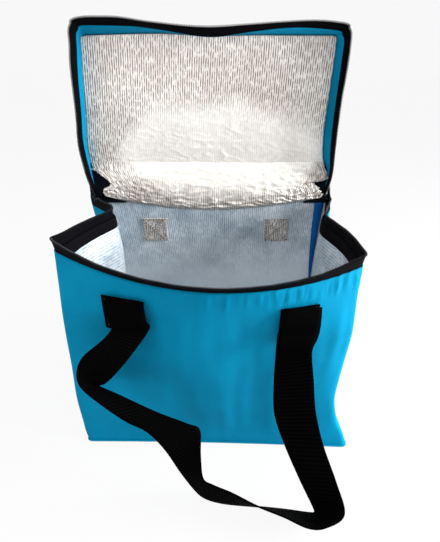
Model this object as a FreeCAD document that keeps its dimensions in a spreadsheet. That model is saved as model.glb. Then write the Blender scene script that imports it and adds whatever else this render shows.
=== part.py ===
import FreeCAD, Part
import math
import os

import Sketcher
from FreeCAD import Placement, Rotation, Vector

# Soft insulated lunch bag, standing open: a fabric box lined with foil-faced foam, a zipped lid on the
# back edge and two webbing handles. Millimetres, +Z up, front towards -Y, origin under the base's centre.

doc = FreeCAD.newDocument("lunch_bag")

# ---- driving dimensions -----------------------------------------------------------------------------
SIZES = {
    "bag_width": 268,            # outside, left to right
    "bag_depth": 176,            # outside, front to back at the corners
    "wall_height": 205,          # floor to the seam that holds the zip
    "front_bow": 36,             # how far the open front rim stands out at its middle
    "fabric_thick": 0.6,         # outer cloth
    "foam_thick": 3.0,           # insulating foam sheet
    "foil_thick": 0.3,           # foil film on the foam
    "layer_gap": 0.05,           # air between the curved layers of the front wall
    "tape_thick": 0.8,           # woven zip tape
    "tape_height": 9.6,          # tape that stands above its seam, up to the coil
    "coil_width": 2.6,           # nylon coil, across
    "coil_height": 2.4,          # nylon coil, along the tape
    "binding_height": 9,         # tape that covers the seam inside the rim
    "binding_thick": 0.7,
    "stop_length": 4,            # end stop of the zip
    "stop_extra": 0.8,           # how much wider the stop is than the coil
    "tape_end_gap": 0.3,         # tape end to the back wall
    "hinge_rise": 1.2,           # fold line of the lid above the rim's coil
    "hinge_gap": 0.3,            # cloth edge to the fold line
    "lid_width": 252,            # flat part of the lid
    "lid_length": 176,           # fold line to the lid's front edge
    "lid_height": 17.6,          # top of the lid above its fold line, closed
    "lid_edge_rise": 1.2,        # lid's coil above the fold line, closed
    "skirt_height": 8.2,         # cloth strip round the lid
    "lid_flare": 0.8,            # how far the lid's edge leans out, per height
    "lid_open_angle": 74,        # opened from closed, as it stands
    "web_width": 34,             # handle webbing
    "web_thick": 1.4,
    "web_gap": 0.4,              # free strap to its sewn end
    "handle_spacing": 150,       # between the middles of a handle's two ends
    "tab_drop": 25,              # rim seam down to where the front strap folds over its sewn end
    "back_tab_drop": 14,         # the same for the back strap
    "tab_height": 34,            # sewn end, top to bottom
    "stitch_inset": 3,           # stitched box inside the webbing's edges
    "thread_width": 0.9,
    "thread_thick": 0.4,
    "slider_length": 11,
    "slider_wall": 1.0,
    "slider_gap": 0.35,          # slider to coil and tape
    "slider_drop": 3.2,          # slider's cheeks below the coil
    "slider_park": 2,            # slider to the end stop
    "pin_radius": 0.6,           # bar that holds the puller
    "pin_reach": 1.9,            # bar's middle off the cheek
    "pin_length": 5.2,
    "post_height": 0.9,
    "puller_bore": 0.75,
    "puller_boss": 1.5,
    "puller_gap": 0.2,           # puller's eye to the posts
    "puller_length": 16,
    "puller_width": 5,
    "puller_thick": 1.0,
    "puller_hole": 1.2,
}
sheet = doc.addObject("Spreadsheet::Sheet", "sizes")
for row, (alias, value) in enumerate(SIZES.items(), start=1):
    sheet.set(f"A{row}", alias)
    sheet.set(f"B{row}", str(value))
    sheet.setAlias(f"B{row}", alias)
doc.recompute()


def size(formula):
    """The value of a formula of the sheet's cells."""
    return float(sheet.evalExpression(formula))


# ---- formulas that several pieces share -------------------------------------------------------------
HALF = "(sizes.bag_width / 2)"
FRONT = "(-sizes.bag_depth / 2)"
BACK = "(sizes.bag_depth / 2)"
SKIN = "sizes.fabric_thick"
LINED = "(sizes.fabric_thick + sizes.foam_thick)"
STACK = "(sizes.fabric_thick + sizes.foam_thick + sizes.foil_thick)"
LOOSE_STACK = f"({STACK} + 3 * sizes.layer_gap)"
TAPE_TOP = "(sizes.wall_height + sizes.tape_height)"
COIL_TOP = f"({TAPE_TOP} + sizes.coil_height)"
HINGE = f"({COIL_TOP} + sizes.hinge_rise)"
TAPE_END = f"({BACK} - {STACK} - sizes.tape_end_gap)"
COIL_END = f"({TAPE_END} - sizes.stop_length)"
TAPE_MID = f"({HALF} - sizes.tape_thick / 2)"
LID_HALF = "(sizes.lid_width / 2)"
TAB_TOP = "(sizes.wall_height - sizes.tab_drop)"
BACK_TAB_TOP = "(sizes.wall_height - sizes.back_tab_drop)"


# ---- sketches and features --------------------------------------------------------------------------
def origin_plane(body, role):
    return next(o for o in body.Origin.OriginFeatures if o.Role == role)


def loop(body, name, height, corners, bows=None, role="XY_Plane"):
    """A closed sketch through corners, at a height off its plane. bows gives the sides that are arcs,
    each by the formula of how far its middle stands out along the sketch's second axis."""
    bows = bows or {}
    sketch = body.newObject("Sketcher::SketchObject", name)
    sketch.AttachmentSupport = [(origin_plane(body, role), "")]
    sketch.MapMode = "FlatFace"
    sketch.setExpression("AttachmentOffset.Base.z", height)
    spots = [Vector(size(u), size(v), 0) for u, v in corners]
    ends = []
    for side, start in enumerate(spots):
        finish = spots[(side + 1) % len(spots)]
        if side in bows:
            middle = (start + finish) / 2 + Vector(0, size(bows[side]), 0)
            forward = (finish - start).cross(middle - start).z < 0
            first, last = (start, finish) if forward else (finish, start)
            sketch.addGeometry(Part.Arc(first, middle, last))
            ends.append((1, 2) if forward else (2, 1))
        else:
            sketch.addGeometry(Part.LineSegment(start, finish))
            ends.append((1, 2))
    for side in range(len(spots)):
        following = (side + 1) % len(spots)
        sketch.addConstraint(
            Sketcher.Constraint("Coincident", side, ends[side][1], following, ends[following][0]))
    for side, (u, v) in enumerate(corners):
        for kind, formula in (("DistanceX", u), ("DistanceY", v)):
            index = sketch.addConstraint(
                Sketcher.Constraint(kind, -1, 1, side, ends[side][0], size(formula)))
            sketch.setExpression(f"Constraints[{index}]", formula)
    for side, bow in bows.items():
        chord = f"abs({corners[(side + 1) % len(corners)][0]} - {corners[side][0]})"
        radius = f"(({chord}) ^ 2 / 4 + ({bow}) ^ 2) / (2 * abs({bow}))"
        index = sketch.addConstraint(Sketcher.Constraint("Radius", side, size(radius)))
        sketch.setExpression(f"Constraints[{index}]", radius)
    return sketch


def rectangle(u0, u1, v0, v1):
    return [(u0, v0), (u1, v0), (u1, v1), (u0, v1)]


def new_body(name):
    return doc.addObject("PartDesign::Body", name)


def pad(body, sketch, length):
    feature = body.newObject("PartDesign::Pad", "pad")
    feature.Profile = sketch
    feature.setExpression("Length", length)
    return feature


def loft(body, kind, lower, upper):
    feature = body.newObject(f"PartDesign::{kind}", "loft")
    feature.Profile = lower
    feature.Sections = [upper]
    feature.Ruled = True
    return feature


def prism(name, corners, low, high, bows=None):
    """Upright piece between two heights over a plan outline."""
    body = new_body(name)
    pad(body, loop(body, "plan", low, corners, bows), f"({high}) - ({low})")
    return body


def slab(name, x, y, z):
    """Flat rectangular piece between three pairs of planes."""
    return prism(name, rectangle(*x, *y), *z)


def put_on_lid(body):
    """Lid pieces are drawn closed with the fold line as their origin, then swung open about it."""
    body.Placement = Placement(Vector(), Rotation(Vector(-1, 0, 0), SIZES["lid_open_angle"]))
    body.setExpression("Placement.Base.y", BACK)
    body.setExpression("Placement.Base.z", HINGE)
    body.setExpression("Placement.Rotation.Angle", "sizes.lid_open_angle")
    return body


def join(kind, name, pieces):
    """A Part boolean or compound of several pieces."""
    result = doc.addObject(f"Part::{kind}", name)
    if kind == "Compound":
        result.Links = pieces
    elif kind in ("Cut", "Common"):
        result.Base, result.Tool = pieces
    else:
        result.Shapes = pieces
    return result


# ---- base and flat walls ----------------------------------------------------------------------------
nodes = {}


def node(label, piece):
    piece.Label = label
    nodes[label] = piece
    return piece


WALL_X = (f"-{HALF}", HALF)
WALL_Y = (FRONT, BACK)
CORE_X = (f"-{HALF} + {STACK}", f"{HALF} - {STACK}")
CORE_Y = (f"{FRONT} + {LOOSE_STACK}", f"{BACK} - {STACK}")
LAYERS = (("panel", "0", SKIN), ("foam", SKIN, LINED), ("foil", LINED, STACK))

for layer, near, far in LAYERS:
    whole = layer == "panel"
    node(f"base_{layer}", slab(f"base_{layer}", WALL_X if whole else CORE_X,
                               WALL_Y if whole else CORE_Y, (near, far)))
    node(f"back_{layer}", slab(f"back_{layer}", WALL_X, (f"{BACK} - {far}", f"{BACK} - {near}"),
                               (SKIN, f"{HINGE} - sizes.hinge_gap")))
    for hand, x in (("left", (f"-{HALF} + {near}", f"-{HALF} + {far}")),
                    ("right", (f"{HALF} - {far}", f"{HALF} - {near}"))):
        node(f"{hand}_{layer}", slab(f"{hand}_{layer}", x, CORE_Y, (SKIN, "sizes.wall_height")))


# ---- bowed front wall -------------------------------------------------------------------------------
def front_sheet(name, near, far):
    """A sheet of the front wall: straight at the floor and bowed at the rim, between two distances in
    from the wall's outer face."""
    body = new_body(name)
    corners = rectangle(f"-{HALF}", HALF, f"{FRONT} + {near}", f"{FRONT} + {far}")
    lower = loop(body, "foot", SKIN, corners)
    upper = loop(body, "rim", "sizes.wall_height", corners,
                 {0: "-sizes.front_bow", 2: "-sizes.front_bow"})
    loft(body, "AdditiveLoft", lower, upper)
    return body


for step, (layer, near, far) in enumerate(LAYERS):
    air = f"{step} * sizes.layer_gap"
    node(f"front_{layer}", front_sheet(f"front_{layer}", f"{near} + {air}", f"{far} + {air}"))


# ---- rim: seam binding, zip tape, coil and stops ----------------------------------------------------
BINDING_Z = ("sizes.wall_height - sizes.binding_height", "sizes.wall_height")
BINDING_FAR = f"({LOOSE_STACK} + sizes.binding_thick)"
inner_sheet = front_sheet("inner_sheet", LOOSE_STACK, BINDING_FAR)
rim_window = slab("rim_window", (f"-{HALF} + {LOOSE_STACK}", f"{HALF} - {LOOSE_STACK}"),
                  (f"{FRONT} - sizes.front_bow", BACK), BINDING_Z)
front_binding = join("Common", "front_binding", (inner_sheet, rim_window))
side_bindings = [
    slab(f"{hand}_binding", x, (f"{FRONT} + {BINDING_FAR} - sizes.binding_thick", f"{BACK} - {STACK}"),
         BINDING_Z)
    for hand, x in (("left", (f"-{HALF} + {LOOSE_STACK}", f"-{HALF} + {BINDING_FAR}")),
                    ("right", (f"{HALF} - {BINDING_FAR}", f"{HALF} - {LOOSE_STACK}")))]
node("rim_binding", join("Compound", "rim_binding", [front_binding] + side_bindings))


def rim_outline(outer, inner, end):
    """Plan of a strip along the left, front and right rims, given its faces from the wall's face."""
    return [(f"-{HALF} - {outer}", end), (f"-{HALF} - {outer}", f"{FRONT} - {outer}"),
            (f"{HALF} + {outer}", f"{FRONT} - {outer}"), (f"{HALF} + {outer}", end),
            (f"{HALF} - {inner}", end), (f"{HALF} - {inner}", f"{FRONT} + {inner}"),
            (f"-{HALF} + {inner}", f"{FRONT} + {inner}"), (f"-{HALF} + {inner}", end)]


RIM_BOWS = {1: "-sizes.front_bow", 5: "-sizes.front_bow"}
PROUD = "((sizes.coil_width - sizes.tape_thick) / 2)"
node("rim_zip_tape", prism("rim_zip_tape", rim_outline("0", "sizes.tape_thick", TAPE_END),
                           "sizes.wall_height", TAPE_TOP, RIM_BOWS))
node("rim_zip_coil", prism("rim_zip_coil",
                           rim_outline(PROUD, f"(sizes.tape_thick + {PROUD})", COIL_END),
                           TAPE_TOP, COIL_TOP, RIM_BOWS))
STOP_HALF = "((sizes.coil_width + sizes.stop_extra) / 2)"
stops = [slab(f"{hand}_stop", (f"{sign}{TAPE_MID} - {STOP_HALF}", f"{sign}{TAPE_MID} + {STOP_HALF}"),
              (COIL_END, TAPE_END), (TAPE_TOP, COIL_TOP))
         for hand, sign in (("left", "-"), ("right", ""))]
node("zip_end_stops", join("Compound", "zip_end_stops", stops))


# ---- lid --------------------------------------------------------------------------------------------
LID_FOIL_LOW = f"(sizes.lid_height - {STACK})"
LID_FOAM_LOW = f"(sizes.lid_height - {LINED})"
LID_SKIN_LOW = f"(sizes.lid_height - {SKIN})"
SKIRT_LOW = "(sizes.lid_height - sizes.skirt_height)"
LID_COIL_TOP = "(sizes.lid_edge_rise + sizes.coil_height)"
LID_X = (f"-{LID_HALF}", LID_HALF)

node("lid_panel", put_on_lid(slab("lid_panel", LID_X, ("-sizes.lid_length", "0"),
                                  (LID_SKIN_LOW, "sizes.lid_height"))))
node("lid_foam", put_on_lid(slab("lid_foam", LID_X, ("-sizes.lid_length", f"-{SKIN}"),
                                 (LID_FOAM_LOW, LID_SKIN_LOW))))
node("lid_foil", put_on_lid(slab("lid_foil", LID_X, ("-sizes.lid_length", f"-{SKIN}"),
                                 (LID_FOIL_LOW, LID_FOAM_LOW))))
node("lid_back_strip", put_on_lid(slab("lid_back_strip", LID_X, (f"-{SKIN}", "0"),
                                       ("sizes.hinge_gap", LID_SKIN_LOW))))
node("lid_back_liner", put_on_lid(slab("lid_back_liner", LID_X,
                                       (f"-{SKIN} - sizes.foil_thick", f"-{SKIN}"),
                                       ("sizes.hinge_gap", LID_FOIL_LOW))))


def lid_edge(name, low, high, outer, inner):
    """Strip round the lid's left, front and right edges that flares towards its open side."""
    body = new_body(name)
    features = (("AdditiveLoft", outer, "0"), ("SubtractiveLoft", inner, "sizes.lid_height"))
    for kind, face, end in features:
        rings = []
        for step, height in (("low", low), ("high", high)):
            lean = f"sizes.lid_flare * (sizes.lid_height - {height}) + {face}"
            corners = rectangle(f"-{LID_HALF} - ({lean})", f"{LID_HALF} + ({lean})",
                                f"-sizes.lid_length - ({lean})", end)
            rings.append(loop(body, f"{kind}_{step}", height, corners))
        loft(body, kind, *rings)
    return put_on_lid(body)


node("lid_skirt", lid_edge("lid_skirt", SKIRT_LOW, "sizes.lid_height", SKIN, "0"))
node("lid_zip_tape", lid_edge("lid_zip_tape", LID_COIL_TOP, SKIRT_LOW, "sizes.tape_thick", "0"))
node("lid_zip_coil", lid_edge("lid_zip_coil", "sizes.lid_edge_rise", LID_COIL_TOP,
                              f"(sizes.tape_thick + {PROUD})", f"-{PROUD}"))


# ---- handles: sewn ends and their stitched boxes ----------------------------------------------------
FRONT_TAB_Z = (f"{TAB_TOP} - sizes.tab_height", TAB_TOP)
BACK_TAB_Z = (f"{BACK_TAB_TOP} - sizes.tab_height", BACK_TAB_TOP)
HANDS = (("left", "-"), ("right", ""))
DEEP = f"({BACK} + sizes.front_bow + sizes.web_width)"


def tab_edge(sign, across):
    return f"({sign}sizes.handle_spacing / 2 {across})"


def handle_ends(wall, sheet_piece, y, tab_z):
    blocks = [slab(f"{wall}_{hand}_block", (tab_edge(sign, "- sizes.web_width / 2"),
                                            tab_edge(sign, "+ sizes.web_width / 2")), y, tab_z)
              for hand, sign in HANDS]
    fused = join("MultiFuse", f"{wall}_blocks", blocks)
    return join("Common", f"{wall}_handle_ends", (sheet_piece, fused))


def stitched_boxes(wall, threads, y, tab_z):
    """A stitched box with its two diagonals on each sewn end, as thread on each face of the wall."""
    inset = "sizes.stitch_inset"
    thread = "sizes.thread_width"
    low, high = f"({tab_z[0]} + {inset})", f"({tab_z[1]} - {inset})"
    lines = []
    for hand, sign in HANDS:
        left = tab_edge(sign, f"- sizes.web_width / 2 + {inset}")
        right = tab_edge(sign, f"+ sizes.web_width / 2 - {inset}")
        bars = [
            rectangle(left, right, low, f"({low} + {thread})"),
            rectangle(left, right, f"({high} - {thread})", high),
            rectangle(left, f"({left} + {thread})", low, high),
            rectangle(f"({right} - {thread})", right, low, high),
            [(left, low), (f"({left} + {thread})", low), (right, high), (f"({right} - {thread})", high)],
            [(f"({right} - {thread})", low), (right, low), (f"({left} + {thread})", high), (left, high)]]
        strokes = []
        for number, bar in enumerate(bars):
            body = new_body(f"{wall}_{hand}_stroke_{number}")
            pad(body, loop(body, "stroke", f"-({y[1]})", bar, role="XZ_Plane"), f"({y[1]}) - ({y[0]})")
            strokes.append(body)
        cross = join("MultiFuse", f"{wall}_{hand}_cross", strokes)
        lines += [join("Common", f"{wall}_{hand}_thread_{side}", (cross, thread_sheet))
                  for side, thread_sheet in enumerate(threads)]
    return join("Compound", f"{wall}_handle_stitching", lines)


FRONT_Y = (f"-{DEEP}", "0")
BACK_Y = ("0", DEEP)
WEB_NEAR = "(sizes.layer_gap + sizes.web_thick)"
THREAD_NEAR = f"({WEB_NEAR} + sizes.layer_gap + sizes.thread_thick)"
front_web = front_sheet("front_web", f"-{WEB_NEAR}", "-sizes.layer_gap")
front_threads = [
    front_sheet("front_thread_outside", f"-{THREAD_NEAR}", f"-({WEB_NEAR} + sizes.layer_gap)"),
    front_sheet("front_thread_inside", f"({LOOSE_STACK} + sizes.layer_gap)",
                f"({LOOSE_STACK} + sizes.layer_gap + sizes.thread_thick)")]
node("front_handle_ends", handle_ends("front", front_web, FRONT_Y, FRONT_TAB_Z))
node("front_handle_stitching", stitched_boxes("front", front_threads, FRONT_Y, FRONT_TAB_Z))

WALL_Z = (SKIN, "sizes.wall_height")
back_web = slab("back_web", WALL_X, (BACK, f"{BACK} + sizes.web_thick"), WALL_Z)
back_threads = [
    slab("back_thread_outside", WALL_X,
         (f"{BACK} + sizes.web_thick", f"{BACK} + sizes.web_thick + sizes.thread_thick"), WALL_Z),
    slab("back_thread_inside", WALL_X,
         (f"{BACK} - {STACK} - sizes.thread_thick", f"{BACK} - {STACK}"), WALL_Z)]
node("back_handle_ends", handle_ends("back", back_web, BACK_Y, BACK_TAB_Z))
node("back_handle_stitching", stitched_boxes("back", back_threads, BACK_Y, BACK_TAB_Z))


# ---- handles: free straps ---------------------------------------------------------------------------
def front_face(x, z):
    """How far forward the front wall's outer face lies at a point."""
    half = size(HALF)
    bow = size("sizes.front_bow")
    radius = (half ** 2 + bow ** 2) / (2 * bow)
    rim = math.sqrt(radius ** 2 - x ** 2) - (radius - bow)
    share = (z - size(SKIN)) / (size("sizes.wall_height") - size(SKIN))
    return size(FRONT) - rim * share


def strap(name, stations):
    """Webbing through cross lines, each given by its middle and roughly the way its width runs. Flat
    facets join one cross section to the next."""
    middles = [Vector(*middle) for middle, _ in stations]
    rings = []
    for index, (middle, (_, across)) in enumerate(zip(middles, stations)):
        along = (middles[min(index + 1, len(middles) - 1)] - middles[max(index - 1, 0)]).normalize()
        side = Vector(*across)
        side = (side - along * side.dot(along)).normalize()
        face = along.cross(side) * (size("sizes.web_thick") / 2)
        side = side * (size("sizes.web_width") / 2)
        rings.append([middle + side + face, middle + side - face,
                      middle - side - face, middle - side + face])
    facets = [rings[0], rings[-1][::-1]]
    for ring, following in zip(rings, rings[1:]):
        for corner in range(4):
            after = (corner + 1) % 4
            # Both wide faces are split along the same way across, so that a twist keeps its thickness.
            if corner < 2:
                facets.append([ring[corner], following[corner], following[after]])
                facets.append([ring[corner], following[after], ring[after]])
            else:
                facets.append([ring[corner], following[corner], ring[after]])
                facets.append([following[corner], following[after], ring[after]])
    shell = Part.makeShell([Part.Face(Part.makePolygon(facet + facet[:1])) for facet in facets])
    shell.sewShape()
    solid = Part.makeSolid(shell)
    if solid.Volume < 0:
        solid.reverse()
    piece = doc.addObject("Part::Feature", name)
    piece.Shape = solid
    return piece


# Each line: offset across from that end of the handle, distance out from the fold line, height as a
# share of the fold's height, and the way the width runs. The front strap lies on the floor with half a
# twist in it; the back one hangs in a plain loop.
FRONT_STRAP = [
    ("left", 0, 0, 1.000, (1, 0, 0)),
    ("left", 0, 4, 0.890, (1, 0, 0)),
    ("left", -7, 7, 0.772, (0.72, 0.26, -0.64)),
    ("left", -23, 7, 0.672, (0.73, 0.27, -0.63)),
    ("left", -33, 5, 0.589, (0.50, 0.48, -0.72)),
    ("left", -16, 9, 0.494, (0.45, 0.74, -0.50)),
    ("left", 15, 21, 0.444, (0.76, 0.56, -0.24)),
    ("left", 36, 30, 0.428, (0.94, 0.32, -0.06)),
    ("left", 50, 33, 0.356, (0.88, 0.44, 0.15)),
    ("left", 56, 36, 0.228, (0.56, -0.18, 0.80)),
    ("left", 63, 42, 0.108, (0.18, -0.38, 0.91)),
    ("left", 85, 52, 0.100, (0.32, -0.38, 0.87)),
    ("right", -37, 60, 0.094, (-0.09, -0.59, 0.80)),
    ("right", 8, 69, 0.067, (-0.30, -0.80, 0.56)),
    ("right", 20, 68, 0.083, (0.40, -0.70, 0.58)),
    ("right", 25, 65, 0.106, (0.74, -0.47, 0.47)),
    ("right", 15, 55, 0.228, (0.76, -0.41, 0.47)),
    ("right", 0, 51, 0.433, (0.80, -0.47, 0.38)),
    ("right", -8, 40, 0.572, (0.88, -0.35, 0.30)),
    ("right", -6, 28, 0.750, (0.90, -0.36, 0.22)),
    ("right", -5, 16, 0.872, (0.97, -0.20, 0.12)),
    ("right", 0, 4, 0.961, (1, 0, 0)),
    ("right", 0, 0, 1.000, (1, 0, 0)),
]
BACK_STRAP = [
    ("left", 0, 0, 1.000, (1, 0, 0)),
    ("left", -1, 4, 0.833, (1, 0, 0)),
    ("left", -3, 9, 0.639, (0.99, -0.10, 0)),
    ("left", -4, 16, 0.444, (0.97, -0.20, 0.10)),
    ("left", -2, 27, 0.267, (0.92, -0.35, 0.20)),
    ("left", 8, 41, 0.139, (0.76, -0.56, 0.32)),
    ("left", 26, 53, 0.072, (0.48, -0.77, 0.42)),
    ("left", 50, 59, 0.056, (0.18, -0.88, 0.44)),
    ("right", -74, 61, 0.056, (0, -0.90, 0.44)),
    ("right", -48, 58, 0.056, (-0.20, -0.87, 0.44)),
    ("right", -24, 50, 0.078, (-0.50, -0.76, 0.42)),
    ("right", -6, 38, 0.144, (-0.78, -0.54, 0.32)),
    ("right", 4, 25, 0.278, (-0.93, -0.33, 0.20)),
    ("right", 5, 15, 0.456, (-0.98, -0.18, 0.10)),
    ("right", 3, 8, 0.644, (-1, -0.08, 0)),
    ("right", 1, 4, 0.833, (-1, 0, 0)),
    ("right", 0, 0, 1.000, (-1, 0, 0)),
]


def strap_stations(route, fold_y, outward, top):
    """The route's lines in place, between the two sewn ends of one handle."""
    ends = {"left": -size("sizes.handle_spacing") / 2, "right": size("sizes.handle_spacing") / 2}
    return [((ends[hand] + across, fold_y + outward * out, top * share), width)
            for hand, across, out, share, width in route]


web_thick = size("sizes.web_thick")
web_gap = size("sizes.web_gap")
tab_inner_edge = size("(sizes.handle_spacing - sizes.web_width) / 2")
front_tab_face = front_face(tab_inner_edge, size(TAB_TOP)) - size(WEB_NEAR)
front_fold = front_tab_face - web_gap - web_thick / 2
back_fold = size(BACK) + web_thick + web_gap + web_thick / 2
node("front_handle", strap("front_handle", strap_stations(FRONT_STRAP, front_fold, -1, size(TAB_TOP))))
node("back_handle", strap("back_handle", strap_stations(BACK_STRAP, back_fold, 1, size(BACK_TAB_TOP))))
print("front handle folds at y", round(front_fold + web_thick / 2, 2),
      "back handle folds at y", round(back_fold - web_thick / 2, 2),
      "at z", size(TAB_TOP), "and", size(BACK_TAB_TOP))


# ---- zip slider and puller on the left rim ----------------------------------------------------------
MID_X = f"(-{TAPE_MID})"
CHEEK_IN = "(sizes.coil_width / 2 + sizes.slider_gap)"
CHEEK_OUT = f"({CHEEK_IN} + sizes.slider_wall)"
LIP_IN = "(sizes.tape_thick / 2 + sizes.slider_gap)"
SLIDER_Y = (f"{COIL_END} - sizes.slider_park - sizes.slider_length",
            f"{COIL_END} - sizes.slider_park")
SLIDER_LOW = f"({TAPE_TOP} - sizes.slider_drop)"
BRIDGE_LOW = f"({COIL_TOP} + sizes.slider_gap)"
SLIDER_TOP = f"({BRIDGE_LOW} + sizes.slider_wall / 2)"
LIP_TOP = f"({TAPE_TOP} - sizes.slider_gap)"
LIP_LOW = f"({LIP_TOP} - sizes.slider_wall)"
PIN_X = f"({MID_X} - {CHEEK_OUT} - sizes.pin_reach)"
PIN_Y = f"({COIL_END} - sizes.slider_park - sizes.slider_length / 2)"
PIN_Z = f"({TAPE_TOP} - sizes.slider_gap)"
PIN_LOW = f"({PIN_Z} - sizes.pin_length / 2)"
PIN_HIGH = f"({PIN_Z} + sizes.pin_length / 2)"

slider_parts = []
for hand, sign in (("outer", -1), ("inner", 1)):
    edges = [f"({MID_X} + {sign} * {reach})" for reach in (LIP_IN, CHEEK_IN, CHEEK_OUT)]
    cheek = (edges[2], edges[1]) if sign < 0 else (edges[1], edges[2])
    lip = (edges[2], edges[0]) if sign < 0 else (edges[0], edges[2])
    slider_parts.append(slab(f"{hand}_cheek", cheek, SLIDER_Y, (SLIDER_LOW, SLIDER_TOP)))
    slider_parts.append(slab(f"{hand}_lip", lip, SLIDER_Y, (LIP_LOW, LIP_TOP)))
slider_parts.append(slab("slider_bridge", (f"{MID_X} - {CHEEK_OUT}", f"{MID_X} + {CHEEK_OUT}"),
                         SLIDER_Y, (BRIDGE_LOW, SLIDER_TOP)))
PIN_SPAN_Y = (f"{PIN_Y} - sizes.pin_radius", f"{PIN_Y} + sizes.pin_radius")
POST_X = (PIN_X, f"{MID_X} - {CHEEK_OUT}")
slider_parts.append(slab("low_post", POST_X, PIN_SPAN_Y, (PIN_LOW, f"{PIN_LOW} + sizes.post_height")))
slider_parts.append(slab("high_post", POST_X, PIN_SPAN_Y, (f"{PIN_HIGH} - sizes.post_height", PIN_HIGH)))


def upright_rod(name, radius, low, high, x=PIN_X, y=PIN_Y):
    rod = doc.addObject("Part::Cylinder", name)
    rod.setExpression("Radius", radius)
    rod.setExpression("Height", f"({high}) - ({low})")
    rod.setExpression("Placement.Base.x", x)
    rod.setExpression("Placement.Base.y", y)
    rod.setExpression("Placement.Base.z", low)
    return rod


slider_parts.append(upright_rod("puller_pin", "sizes.pin_radius", PIN_LOW, PIN_HIGH))
node("zip_slider", join("MultiFuse", "zip_slider", slider_parts))

EYE_LOW = f"({PIN_LOW} + sizes.post_height + sizes.puller_gap)"
EYE_HIGH = f"({PIN_HIGH} - sizes.post_height - sizes.puller_gap)"
NECK_END = f"({PIN_Y} + sizes.puller_boss + sizes.puller_gap)"
PULLER_X = (f"{PIN_X} - sizes.puller_thick / 2", f"{PIN_X} + sizes.puller_thick / 2")
PULLER_END = f"({PIN_Y} + sizes.puller_length)"
eye = upright_rod("puller_eye", "sizes.puller_boss", EYE_LOW, EYE_HIGH)
neck = slab("puller_neck", PULLER_X, (PIN_Y, NECK_END), (EYE_LOW, EYE_HIGH))
tab = slab("puller_tab", PULLER_X, (NECK_END, PULLER_END),
           (f"{PIN_Z} - sizes.puller_width / 2", f"{PIN_Z} + sizes.puller_width / 2"))
bore = upright_rod("puller_bore", "sizes.puller_bore", PIN_LOW, PIN_HIGH)
grip_hole = new_body("grip_hole")
HOLE_SIDE = "sizes.puller_hole"
HOLE_Y = f"({PULLER_END} - sizes.puller_width / 2)"
hole_corners = rectangle(f"{HOLE_Y} - {HOLE_SIDE}", f"{HOLE_Y} + {HOLE_SIDE}",
                         f"{PIN_Z} - {HOLE_SIDE}", f"{PIN_Z} + {HOLE_SIDE}")
pad(grip_hole, loop(grip_hole, "hole", f"{PIN_X} - sizes.puller_thick", hole_corners, role="YZ_Plane"),
    "2 * sizes.puller_thick")
puller_blank = join("MultiFuse", "puller_blank", [eye, neck, tab])
puller_cuts = join("MultiFuse", "puller_cuts", [bore, grip_hole])
node("zip_puller", join("Cut", "zip_puller", (puller_blank, puller_cuts)))


# ---- check and write --------------------------------------------------------------------------------
doc.recompute()
for item in doc.Objects:
    if "Invalid" in item.State or "Error" in item.State:
        raise RuntimeError(f"{item.Name} failed: {item.State}")
for label, piece in nodes.items():
    if piece.Shape.isNull() or not piece.Shape.isValid() or not piece.Shape.Solids:
        raise RuntimeError(f"{label} has no valid solid")

os.makedirs("parts", exist_ok=True)
for label, piece in nodes.items():
    piece.Shape.exportStep(f"parts/{label}.step")
    solids = piece.Shape.Solids
    print(f"{label}: {len(solids)} solid(s), {sum(solid.Volume for solid in solids):.1f} mm3")
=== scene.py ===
import math
from functools import lru_cache

import bpy
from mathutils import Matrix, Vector, noise


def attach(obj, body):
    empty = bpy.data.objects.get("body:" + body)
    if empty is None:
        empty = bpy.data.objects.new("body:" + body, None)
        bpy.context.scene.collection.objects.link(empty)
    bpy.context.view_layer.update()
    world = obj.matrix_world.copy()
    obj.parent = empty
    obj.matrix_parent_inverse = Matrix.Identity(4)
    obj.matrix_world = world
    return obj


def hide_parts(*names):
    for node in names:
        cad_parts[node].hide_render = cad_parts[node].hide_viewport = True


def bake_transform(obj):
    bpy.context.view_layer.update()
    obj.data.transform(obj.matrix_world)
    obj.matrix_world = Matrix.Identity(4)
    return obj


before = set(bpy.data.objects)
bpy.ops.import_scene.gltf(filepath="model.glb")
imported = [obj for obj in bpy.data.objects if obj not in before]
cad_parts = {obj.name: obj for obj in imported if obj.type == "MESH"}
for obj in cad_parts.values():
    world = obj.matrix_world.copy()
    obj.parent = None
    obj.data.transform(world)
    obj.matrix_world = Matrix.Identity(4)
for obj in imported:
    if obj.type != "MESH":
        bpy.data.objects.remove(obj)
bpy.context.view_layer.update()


# ---- camera, floor and light ----
# The bag stands on a pale table in a white studio. A short lens looks down at it from the front, a large
# soft lamp stands to its right, and weaker ones hang in front of it and above.


def linear(colour):
    """The linear colour, with full alpha, of one sRGB hex value."""
    parts = [int(colour[place:place + 2], 16) / 255 for place in (1, 3, 5)]
    return tuple(c / 12.92 if c <= 0.04045 else ((c + 0.055) / 1.055) ** 2.4 for c in parts) + (1.0,)


def add_node(tree, kind, settings, links):
    """One node: settings are its attributes or sockets, links are its sockets' sources. A node given as a
    source stands for its first output."""
    made = tree.nodes.new(kind)
    for field, value in settings.items():
        if isinstance(field, str) and hasattr(made, field):
            setattr(made, field, value)
    for field, value in settings.items():
        if not isinstance(field, str) or not hasattr(made, field):
            made.inputs[field].default_value = value
    for field, source in links.items():
        tree.links.new(getattr(source, "outputs", [source])[0], made.inputs[field])
    return made


def new_material(name):
    """An empty material, its tree and its output node."""
    made = bpy.data.materials.new(name)
    made.use_nodes = True
    made.node_tree.nodes.clear()
    return made, made.node_tree, made.node_tree.nodes.new("ShaderNodeOutputMaterial")


def add_object(name, data):
    """A new object of the scene, at the origin."""
    made = bpy.data.objects.new(name, data)
    bpy.context.collection.objects.link(made)
    return made


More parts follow.
